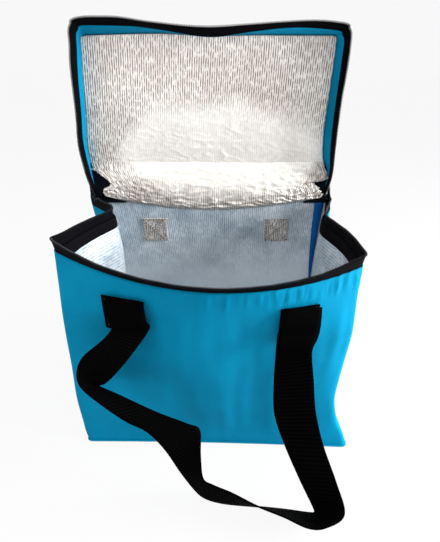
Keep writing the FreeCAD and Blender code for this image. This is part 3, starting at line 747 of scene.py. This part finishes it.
# ---- lid: cloth, foam and foil panel ----
# The lid is a shallow tray: a flat panel of cloth, foam and foil, wider at the fold, puffed a little, with
# a cloth strip round three sides. It leans back on the sewn fold at the bag's back edge.
lid_lean = math.radians(74)
fold_line = Vector((0, 88, 218.2))
lid_up = Vector((0, -math.cos(lid_lean), math.sin(lid_lean)))
lid_in = Vector((0, -math.sin(lid_lean), -math.cos(lid_lean)))
lid_depth = 17.6
padding_level = -14.5
padding_thick = 2.4
lining_level = -14


def lid_point(x, up, front):
    """A point of the lid, in mm: up from the fold, and front of the plane of the fold."""
    return fold_line + Vector((x, 0, 0)) + lid_up * up + lid_in * front


edge_stops = {
    ("left", "foil"): [(0, -143), (20, -145), (42, -145), (90, -138.5), (131, -133), (168, -127.5)],
    ("left", "strip"): [(0, -140), (30, -143), (60, -143.5), (92, -139), (135, -133.5), (168, -127.5)],
    ("left", "tape"): [(0, -141), (20, -145.5), (60, -147.5), (92, -143), (135, -138.6), (155, -136.4),
                       (168, -132.5)],
    ("right", "foil"): [(0, 131), (18, 137), (43, 129), (85, 125), (112, 124.4), (146, 123.4), (168, 122)],
    ("right", "strip"): [(0, 133), (20, 138), (60, 132.5), (92, 130), (135, 128), (168, 126.5)],
    ("right", "tape"): [(0, 135), (26, 139), (61, 136.5), (125, 133), (145, 133), (155, 132.8), (168, 131)],
    ("top", "foil"): [(-127, 167), (-45, 169), (0, 167), (40, 168), (122, 168)],
    ("top", "strip"): [(-127, 179), (-77, 178.5), (-44, 175), (0, 169.5), (36, 174), (82, 178), (127, 175)],
    ("top", "tape"): [(-136, 184), (-115, 188.5), (-90, 188.5), (-60, 184.5), (-8, 181), (64, 184.5),
                      (98, 186), (132, 183)],
}


@lru_cache(maxsize=None)
def lid_edge(ring, travel):
    """The lid's edge, as x and up, at 0 to 3 for its left side, top and right side, with rounded corners."""
    left = edge_stops["left", ring][-1][1]
    right = edge_stops["right", ring][-1][1]

    def raw(place):
        if place <= 1:
            up = through(edge_stops["top", ring], left) * place
            return Vector((through(edge_stops["left", ring], up), up))
        if place <= 2:
            x = left + (right - left) * (place - 1)
            return Vector((x, through(edge_stops["top", ring], x)))
        up = through(edge_stops["top", ring], right) * (3 - place)
        return Vector((through(edge_stops["right", ring], up), up))

    reach = 0.025 if ring == "foil" else 0.06
    if travel < reach or travel > 3 - reach:
        return raw(travel)
    point = Vector((0, 0))
    for step, weight in ((-1, 1), (-0.5, 2), (0, 2), (0.5, 2), (1, 1)):
        point += raw(travel + step * reach * (0.65 if 1 < travel < 2 else 1)) * weight / 8
    return point


def lid_face(across, up_share, front, start=0.0):
    """A point on a panel that fills the lid's edge, from the fold up."""
    up_share = start + (1 - start) * up_share
    low = max(1e-4, min(1 - 1e-4, round(up_share, 5)))
    side = lid_edge("foil", low) * (1 - across) + lid_edge("foil", 3 - low) * across
    upper_side = lid_edge("foil", 1) * (1 - across) + lid_edge("foil", 2) * across
    point = side + (lid_edge("foil", 1 + round(across, 5)) - upper_side) * up_share ** 3
    return lid_point(point.x, point.y, front)


def lid_puff(across, up_share):
    """How far the soft lid bulges, in mm: most of all near the fold."""
    across = min(1, max(0, across))
    swell = math.sin(math.pi * across) ** 0.7 * math.sin(math.pi * (0.08 + 0.9 * up_share))
    return max(0, 2.0 * swell + 1.2 * noise.noise(Vector((across * 3.3, up_share * 2.6, 8))))


lid_cloth = cloth_grid(
    "lid_cloth", 96, 64,
    lambda c, r: lid_face(1 - c, r, -lid_depth - 1.2 * math.sin(math.pi * c) * math.sin(math.pi * r)
                          + 0.8 * noise.noise(Vector((c * 5, r * 4, 3))), 0.03),
    (260, 168), cloth_finish, cloth_thick)
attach(lid_cloth, "lid")
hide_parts("lid_panel")

lid_padding = cloth_grid("lid_padding", 60, 40, lambda c, r: lid_face(c, r, padding_level, 0.05),
                         (260, 168), foam_finish, padding_thick)
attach(lid_padding, "lid")
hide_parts("lid_foam")

# the lining of the lid faces the light, and its film is painted warm white and brighter than the walls'
# lining, as painted light: ribbed in its upper half, pressed smooth below and painted paler there, a painted
# highlight where it bulges towards the light
lid_foil_lit_finish = foil_material("embossed_foil_film_lid", "#cdc2bb", "#574b44", "#fffaf3",
                                (0.08, 0.12), 0.95, 0.2, 0.42, 0.085)
lid_lining_start = 0.2


def lid_lining_at(across, up):
    """A point on the lid's lining, which is creased most of all near the fold."""
    puff = lid_puff(across, lid_lining_start + 0.8 * up)
    crease = foil_crease(Vector((across * 150, up * 230, 300)), 0.15 + 0.35 * (1 - up) ** 2,
                         0.15 + 0.45 * (1 - up) ** 2)
    return lid_face(across, up, lining_level + puff + crease, lid_lining_start)


lid_lining = cloth_grid("lid_lining", 240, 150, lid_lining_at, (255, 140), lid_foil_lit_finish, foil_thick)
for loop in lid_lining.data.uv_layers["cloth"].data:
    loop.uv.y += 0.028
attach(lid_lining, "lid")
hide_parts("lid_foil")


# ---- lid: side strip, zip tape and coil ----
# A strip of the same cloth stands round three sides of the lid. The zip's other half tape is sewn to its
# edge and flares out, and folds forward over the strip in the middle of the top.
def lid_ring(ring, travel, front):
    """A point on one ring of the lid's edge."""
    spot = lid_edge(ring, round(travel, 5))
    return lid_point(spot.x, spot.y, front)


def strip_at(travel, share):
    """A point on the cloth strip, from the panel's edge to its free edge."""
    low, high = lid_ring("foil", travel, -lid_depth), lid_ring("strip", travel, 0)
    swell = math.sin(math.pi * share) * 0.8 * noise.noise(Vector((travel * 9, share * 2, 1)))
    return low + (high - low) * share + Vector((swell, 0, 0))


tape_share = tape_width / (tape_width + coil_high)
tape_forward = 7.5


def lid_tape_at(travel, share):
    """A point on the lid's zip tape, from the strip's edge to the coil."""
    low, high = lid_ring("strip", travel, -0.4), lid_ring("tape", travel, tape_forward)
    ripple = 0.5 * noise.noise(Vector((travel * 14, share, 6))) * share
    return low + (high - low) * share + lid_in * ripple


lid_strip = cloth_grid("lid_strip", 220, 8, lambda c, r: strip_at(3 * c, r), (600, 18),
                       cloth_finish, cloth_thick, offset=0)
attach(lid_strip, "lid")
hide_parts("lid_skirt")

lid_tape = cloth_grid("lid_tape", 220, 6, lambda c, r: lid_tape_at(3 * c, r * tape_share), (600, 10),
                      tape_finish, tape_thick, offset=0)
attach(lid_tape, "lid")
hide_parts("lid_zip_tape")

lid_coil = repeat_along(
    "lid_coil", [[lid_tape_at(3 * k / 400, tape_share + 0.08) for k in range(401)]],
    coil_tree, coil_step, coil_loop, coil_wide, coil_high)
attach(lid_coil, "lid")
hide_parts("lid_zip_coil")


# ---- fold at the back edge ----
# Cloth outside and foil inside run from the back wall into the lid without a break. The foil bulges there
# into a soft roll that hangs forward over the back wall, drawn in below its two tips.
roll_start = -129
roll_end = 128
roll_left = [(0, -118), (0.06, -121), (0.17, -129), (0.34, -129), (0.44, -121), (0.56, -124), (0.7, -134),
             (0.82, -142), (1, -142.3)]
roll_right = [(0, 121), (0.06, 129), (0.17, 131), (0.37, 127), (0.52, 120), (0.56, 133), (0.64, 137.5),
              (0.8, 134), (1, 130)]


def roll_at(across, share):
    """A point on the roll of foil, from the back wall up into the lid."""
    middle = math.sin(math.pi * across) ** 0.6
    ends = abs(2 * across - 1)
    near_left, near_right = (1 - across) ** 9, across ** 9
    x = (roll_start + (roll_end - roll_start) * across + (through(roll_left, share) - roll_start) * near_left
         + (through(roll_right, share) - roll_end) * near_right)
    x += 3.5 * noise.noise(Vector((share * 22, across * 6, 17))) * ends ** 12
    seam = lid_face(across, 0, lining_level + lid_puff(across, lid_lining_start), lid_lining_start)
    hang = math.sin(math.pi * across)
    foot = Vector((0, 83.0, 212.5 - 13.5 * hang))
    belly = Vector((0, 79 - 3 * middle, 221 - 12 * hang))
    neck = Vector((0, 84 - 3 * middle, 241 - 4 * middle))
    top = Vector((0, seam.y + 0.5, seam.z + 3))
    a, b = 1 - share, share
    curve = foot * a ** 3 + belly * 3 * a * a * b + neck * 3 * a * b * b + top * b ** 3
    reach = min(1, 10 * share) * min(1, 6 * (1 - share))
    streak = noise.noise(Vector((x / (22 - 12 * ends), share * 9 + 0.02 * x * ends, 11)))
    wrinkle = (0.35 + 1.5 * a ** 3 + 1.3 * ends ** 6) * (1 - 2.2 * abs(streak))
    wrinkle += foil_crease(Vector((x * 0.6, curve.z * 2, 50)), 0.3 + 0.9 * a * a, 0.25 + 0.5 * a * a)
    return Vector((x, curve.y, curve.z)) + Vector((0, -0.9, 0.2)) * wrinkle * reach


# the same foil on the roll, painted darker than the lid's, as painted shade: pressed smooth and painted paler
# where it meets the lid, crumpled towards the wall, where painted shade darkens it and its grooves
fold_foil_shaded_finish = foil_material("crumpled_foil_film_fold", "#9b9089", "#4d443e", "#f4efe8",
                                 (0.105, 0.135), 0.95, 0.3, 0.36, 0.04)
fold_lining = cloth_grid("fold_lining", 320, 72, roll_at, (268, 50), fold_foil_shaded_finish, foil_thick)
for loop in fold_lining.data.uv_layers["cloth"].data:
    loop.uv.y = 0.137 - loop.uv.y
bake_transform(fold_lining)
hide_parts("lid_back_liner")


def bent(low, middle, high, share):
    """A point on the soft bend from low to high that middle draws out."""
    return low * (1 - share) ** 2 + middle * 2 * share * (1 - share) + high * share * share


def fold_cloth_at(across, share):
    """A point on the cloth outside the fold."""
    low = smooth_wall(left_start - across * front_width, 0.985)[0] + Vector((0, 0.3, 0))
    high = lid_face(across, 0, -lid_depth - 0.2, 0.05)
    curve = bent(low, Vector((low.x * 0.5 + high.x * 0.5, 97, 218.5)), high, share)
    return curve + Vector((0, 0.4, -0.4)) * noise.noise(Vector((curve.x / 15, share * 2, 4))) * 1.5


fold_cloth = cloth_grid("fold_cloth", 120, 16, lambda c, r: fold_cloth_at(1 - c, r), (268, 30),
                        cloth_finish, cloth_thick)
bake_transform(fold_cloth)
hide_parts("lid_back_strip")

# the thin cloth that closes the two ends of the fold: the same turquoise cloth, lying in deep shade, and
# painted near-black navy as painted shade
fold_end_shade_finish = twill_material("navy_painted_shade_fold_end", 0.5, "#01040a", "#020a17", 0.3, 0.8, 0.1)


def pocket_at(left, right, across, share):
    """A point on one end of the fold, from the bag's corner up to the lid's side."""
    x = left + (right - left) * across
    high = lid_point(x, 32, -13.5)
    low = Vector((x, 82.2, 208))
    middle = Vector((x, 84.5 + 2 * math.sin(math.pi * across), 226))
    ripple = 0.6 * noise.noise(Vector((x / 7, share * 4, 9)))
    return bent(low, middle, high, share) + Vector((0, ripple, 0))


for name, left, right in (("left_fold_end", -145, -104), ("right_fold_end", 110, 137.5)):
    fold_end = cloth_grid(name, 14, 22, lambda c, r: pocket_at(left, right, c, r), (right - left, 54),
                          fold_end_shade_finish, 0.4)
    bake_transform(fold_end)


def hinge_tape_at(hand, across, along):
    """A point on the tape where it turns from the rim into the lid, across the tape and up along it."""
    travel, turn = (left_start + 3, 0.075) if hand == "left" else (back_start - 3, 2.925)
    low, high = rim_at(travel, tape_width * across, tape_in), lid_tape_at(turn, tape_share * across)
    return bent(low, (low + high) / 2 + Vector((0, 3 * (1 - across), 0)), high, along)


for hand in ("left", "right"):
    link = cloth_grid(f"{hand}_hinge_tape", 6, 20,
                      lambda c, r: hinge_tape_at(hand, c if hand == "left" else 1 - c, r),
                      (tape_width, 11), tape_finish, tape_thick, offset=0)
    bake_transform(link)


# ---- welt in the back corner ----
# Inside the back right corner a folded strip of the turquoise cloth covers the seam of the lining. It lies in
# shadow and is painted dark blue, as painted shade. It is widest at the fold and runs out half way down.
welt_shade_finish = twill_material("dark_blue_painted_shade_welt", 0.5, "#003c78", "#0a5a9c", 0.3, 0.8, 0.1)
welt_foot = 96
welt_long = 112


def welt_at(across, along):
    """A point on the welt, from its tip up to the fold."""
    height = welt_foot + welt_long * along
    corner = wall_at(back_start + 1, height / fold_height, wall_thick)
    wide = 10.5 * along ** 0.8 + 0.3
    return Vector((corner.x - 3.2 - wide * across, 82.6 - 1.6 * math.sin(math.pi * across), height))


corner_welt = cloth_grid("corner_welt", 8, 40, lambda c, r: welt_at(1 - c, r), (12, welt_long),
                         welt_shade_finish, 0.5, offset=1)
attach(corner_welt, "bag")


# ---- handles ----
# Two flat straps of black polypropylene webbing, 34 mm wide. Each end is folded over and sewn to a wall
# with a boxed cross. The front strap drops, twists and lies on its edge on the table. The back one hangs.
web_width = 34
web_thick = 1.4
web_rib = 2.4
web_thread = 1.7
tab_spacing = 150
tab_height = 34


def web_between(first, second, length):
    """Smooth edges of a strap through given stations, each a left and a right edge point in mm."""
    def curve(points, at):
        k = min(int(at), len(points) - 2)
        before, after = points[max(k - 1, 0)], points[min(k + 2, len(points) - 1)]
        weights = four_weights(at - k)
        return weights[0] * before + weights[1] * points[k] + weights[2] * points[k + 1] + weights[3] * after

    lefts, rights = [Vector(p) for p in first], [Vector(p) for p in second]
    last = len(lefts) - 1
    return [(curve(lefts, last * k / length), curve(rights, last * k / length)) for k in range(length + 1)]


# polypropylene webbing: dull black, ribbed across its width. Its ribs and threads are drawn coarser than
# they are, so that they show.
web_finish, tree, surface = new_material("black_polypropylene_webbing")
flat_place = add_node(tree, "ShaderNodeUVMap", {"uv_map": "cloth"}, {}).outputs[0]
along, over = (add_node(tree, "ShaderNodeTexWave",
                        {"bands_direction": way, "Distortion": 0.3, "Detail": 1.0,
                         "Scale": band_scale / pitch}, {"Vector": flat_place})
               for way, pitch in (("X", web_thread), ("Y", web_rib)))
thread = add_node(tree, "ShaderNodeMath", {"operation": "MULTIPLY", 1: 0.25}, {0: along.outputs["Fac"]})
plait = add_node(tree, "ShaderNodeMath", {"operation": "MULTIPLY_ADD", 1: 0.75},
                 {0: over.outputs["Fac"], 2: thread})
two_tone(tree, surface, plait.outputs[0], "#000000", "#060606",
         {"Roughness": 0.9, "Specular IOR Level": 0.01}, {"Strength": 0.5, "Distance": 0.0005})

front_left_edge = [
    (-87, -108.5, 184), (-87, -112, 178), (-85.5, -113, 166), (-84.5, -112, 155), (-91, -122, 150),
    (-107, -127, 137), (-114, -127, 122), (-112, -130, 109), (-98, -136, 98), (-74, -145, 85),
    (-55, -151, 78), (-40, -155, 62), (-28, -150, 28), (-15, -150, 3), (-5, -157, 1), (12, -162, 1),
    (40, -165, 1), (66, -168, 1), (86, -171, 1), (91, -172, 3), (89, -171, 10), (77, -163, 34),
    (62, -157, 70), (53, -149, 96), (52, -141, 120), (53.5, -131, 138), (55.5, -120, 151),
    (58.5, -117.5, 165), (61, -115, 177)]
front_right_edge = [
    (-54.5, -116, 184), (-54, -118.5, 178), (-53, -118, 166), (-52, -115, 156), (-68, -120, 134),
    (-84, -117, 112), (-96, -112, 97), (-104, -106, 88), (-86, -111, 82), (-49, -127, 76),
    (-21, -140, 75.5), (-9.5, -143.5, 72), (-9, -154, 52), (-7, -162, 34), (2, -168, 33), (18, -174, 31),
    (38, -184, 29), (60, -191, 25), (79, -197, 20), (93, -198, 22), (110, -189, 25), (103, -177, 49),
    (90, -172, 84), (84, -160, 108), (82.5, -149, 130), (81.6, -137, 150), (90, -120, 152),
    (92, -116, 163), (93, -110, 175.5)]


def strap_mesh(name, first, second, length):
    """One strap: rows across the webbing, given its thickness."""
    steps = 240
    rows = web_between(first, second, steps)

    def place(across, along):
        left, right = rows[round(along * steps)]
        return left + (right - left) * across

    return cloth_grid(name, 8, steps, place, (web_width, length), web_finish, web_thick, offset=0)


front_strap = strap_mesh("front_strap", front_left_edge, front_right_edge, 545)
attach(front_strap, "front_handle")
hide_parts("front_handle")


def wall_face(wall, x, z, out):
    """A point over the cloth of the front or back wall, in mm, or inside the lining where out is below 0."""
    if wall == "front":
        travel, sign = (x + 136) / 270 * front_width, -1
    else:
        travel, sign = left_start - (x + 139) / 279 * front_width, 1
    spot = wall_at(travel, z / rim_level(travel), 0)
    return Vector((x, spot.y + sign * out, z))


tab_level = {"front": 180, "back": 191}
tab_raised = {("front", "left"): 4, ("front", "right"): -3.5, ("back", "left"): 0, ("back", "right"): 0}


def tab_at(wall, hand, across, up):
    """A point on one sewn end, 34 mm square. The front pair isn't quite level."""
    sign = -1 if hand == "left" else 1
    side = across if wall == "front" else 1 - across
    return wall_face(wall, sign * tab_spacing / 2 + (side - 0.5) * web_width,
                     tab_level[wall] + tab_raised[wall, hand] - tab_height * (1 - up) - 0.5, 1.2)


for wall, hand in tab_raised:
    tab = cloth_grid(f"{wall}_{hand}_tab", 10, 14, lambda c, r: tab_at(wall, hand, c, r),
                     (web_width, tab_height), web_finish, web_thick, offset=0)
    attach(tab, "bag")
    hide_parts(f"{wall}_handle_ends")


def there_and_back(half):
    """The stations of a strap whose second half mirrors its first."""
    return half + [(-x, y, z) for x, y, z in reversed(half[:-1])]


back_left_edge = there_and_back([
    (-58, 90, 191), (-58, 94, 175), (-59, 98, 148), (-61, 103, 116), (-64, 109, 84), (-66, 118, 55),
    (-60, 130, 33), (-43, 142, 21), (-22, 149, 17), (0, 151, 16)])
back_right_edge = there_and_back([
    (-92, 90, 191), (-92, 94, 175), (-93, 100, 148), (-95, 107, 115), (-96, 118, 79), (-92, 132, 45),
    (-78, 148, 16), (-54, 160, 3), (-26, 165, 2), (0, 167, 2)])
back_strap = strap_mesh("back_strap", back_left_edge, back_right_edge, 500)
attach(back_strap, "back_handle")
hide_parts("back_handle")

# sewing thread: the same in black, where it crosses the webbing; the same black bodies also mark the back
# needle holes, as painted shade
black_thread = thread_material("black_polyester_thread", 400.0, "#050505", "#1a1a1b", 0.7, 0.2)
black_stitches = repeat_tree("black_stitches", black_thread, True)

# the box keeps inside the webbing's edge, and on the back wall its inner side lies lower and to the right
stitch_inset = 3.2
over_web = 2.0
back_seam_drop = -0.8
back_seam_aside = 4
# the needle holes are not cut into the mesh: small black bodies stand in them, as painted shade
hole_late = 0.055    # the needle holes lie this share of a seam behind the stitches


def boxed_cross(wall, out, drop=0, aside=0, late=0.0):
    """Lines of the stitched box and its cross on both sewn ends, each begun a little late."""
    lines = []
    for hand, sign in (("left", -1), ("right", 1)):
        middle = sign * tab_spacing / 2 + aside
        reach = web_width / 2 - stitch_inset
        low = tab_level[wall] + drop + tab_raised[wall, hand] - tab_height + stitch_inset
        high = low + tab_height - 2 * stitch_inset
        corners = [(middle - reach, low), (middle + reach, low), (middle + reach, high),
                   (middle - reach, high)]
        for start, finish in ((0, 1), (1, 2), (2, 3), (3, 0), (0, 2), (1, 3)):
            (x0, z0), (x1, z1) = corners[start], corners[finish]
            shares = [late + (1 - late) * k / 12 for k in range(13)]
            lines.append([wall_face(wall, x0 + (x1 - x0) * share, z0 + (z1 - z0) * share, out)
                          for share in shares])
    return lines


back_seam = (-wall_thick - 1.6, back_seam_drop, back_seam_aside)
for name, wall, lines, stitches, sizes in (
        ("front_stitching", "front", (over_web,), black_stitches, (stitch_step, stitch_long, 0.6, 0.6)),
        ("front_stitching_inside", "front", (-wall_thick - 0.2,), grey_stitches,
         (stitch_step, stitch_long, 0.8, 0.8)),
        ("back_stitching", "back", (over_web,), black_stitches, (stitch_step, stitch_long, 0.6, 0.6)),
        ("back_stitching_inside", "back", back_seam, grey_stitches, (3.4, 2.6, 2.0, 1.5)),
        ("back_needle_hole_shade", "back", (*back_seam, hole_late), black_stitches, (3.4, 1.3, 2.2, 1.2))):
    stitching = repeat_along(name, boxed_cross(wall, *lines), stitches, *sizes)
    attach(stitching, "bag")
    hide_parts(f"{wall}_handle_stitching")


def gathered_at(sign, across, up):
    """A point of the lining where the back handle's seam has drawn it into small hard folds."""
    reach = web_width / 2 - 2.2
    x = sign * tab_spacing / 2 + back_seam_aside + (2 * across - 1) * reach
    z = tab_level["back"] + back_seam_drop - tab_height / 2 + (2 * up - 1) * reach
    inner = min(across, 1 - across, up, 1 - up)
    lifted = 1.2 * abs(noise.noise(Vector((x / 4.2, z / 3.4, 21))))
    lifted += 0.5 * abs(noise.noise(Vector((x / 1.9, z / 1.9, 5))))
    return wall_face("back", x, z, -wall_thick - 0.2 - lifted * min(1, 9 * inner))


for hand, sign in (("left", -1), ("right", 1)):
    gathered = cloth_grid(f"back_{hand}_gathered_foil", 34, 34, lambda c, r: gathered_at(sign, c, r),
                          (30, 30), fold_foil_shaded_finish, foil_thick)
    # the shift puts the patch in the band between the roll's painted paler tone and its painted darker one
    for loop in gathered.data.uv_layers["cloth"].data:
        loop.uv.y += 0.11
    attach(gathered, "bag")


# ---- slider, puller and end stops ----
# The zip's slider is die-cast zinc with a black nickel plate, rubbed brighter in places. Its puller is the
# same, and the two end stops are pressed from the same metal.
plated, tree, surface = new_material("black_nickel_plated_zinc")
spot = add_node(tree, "ShaderNodeTexCoord", {}, {}).outputs["Object"]
cast = add_node(tree, "ShaderNodeTexNoise", {"Scale": 500.0, "Detail": 3.0, "Roughness": 0.6},
                {"Vector": spot})
rubbed = add_node(tree, "ShaderNodeTexNoise", {"Scale": 160.0, "Detail": 4.0, "Roughness": 0.7},
                  {"Vector": spot})
worn = add_node(tree, "ShaderNodeMapRange", {1: 0.55, 2: 0.75}, {0: rubbed.outputs["Fac"]})
colour = add_node(tree, "ShaderNodeMix", {"data_type": "RGBA", 6: linear("#1b1b1e"), 7: linear("#8a8a90")},
                  {0: worn})
gloss = add_node(tree, "ShaderNodeMapRange", {3: 0.22, 4: 0.42}, {0: cast.outputs["Fac"]})
relief = add_node(tree, "ShaderNodeBump", {"Strength": 0.15, "Distance": 0.0002},
                  {"Height": cast.outputs["Fac"]})
metal = add_node(tree, "ShaderNodeBsdfPrincipled", {"Metallic": 1.0},
                 {"Base Color": colour.outputs[2], "Roughness": gloss,
                  "Normal": relief})
tree.links.new(metal.outputs[0], surface.inputs["Surface"])
for node in ("zip_slider", "zip_puller", "zip_end_stops"):
    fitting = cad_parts[node]
    for place in range(max(1, len(fitting.material_slots))):
        if place < len(fitting.material_slots):
            fitting.material_slots[place].material = plated
        else:
            fitting.data.materials.append(plated)
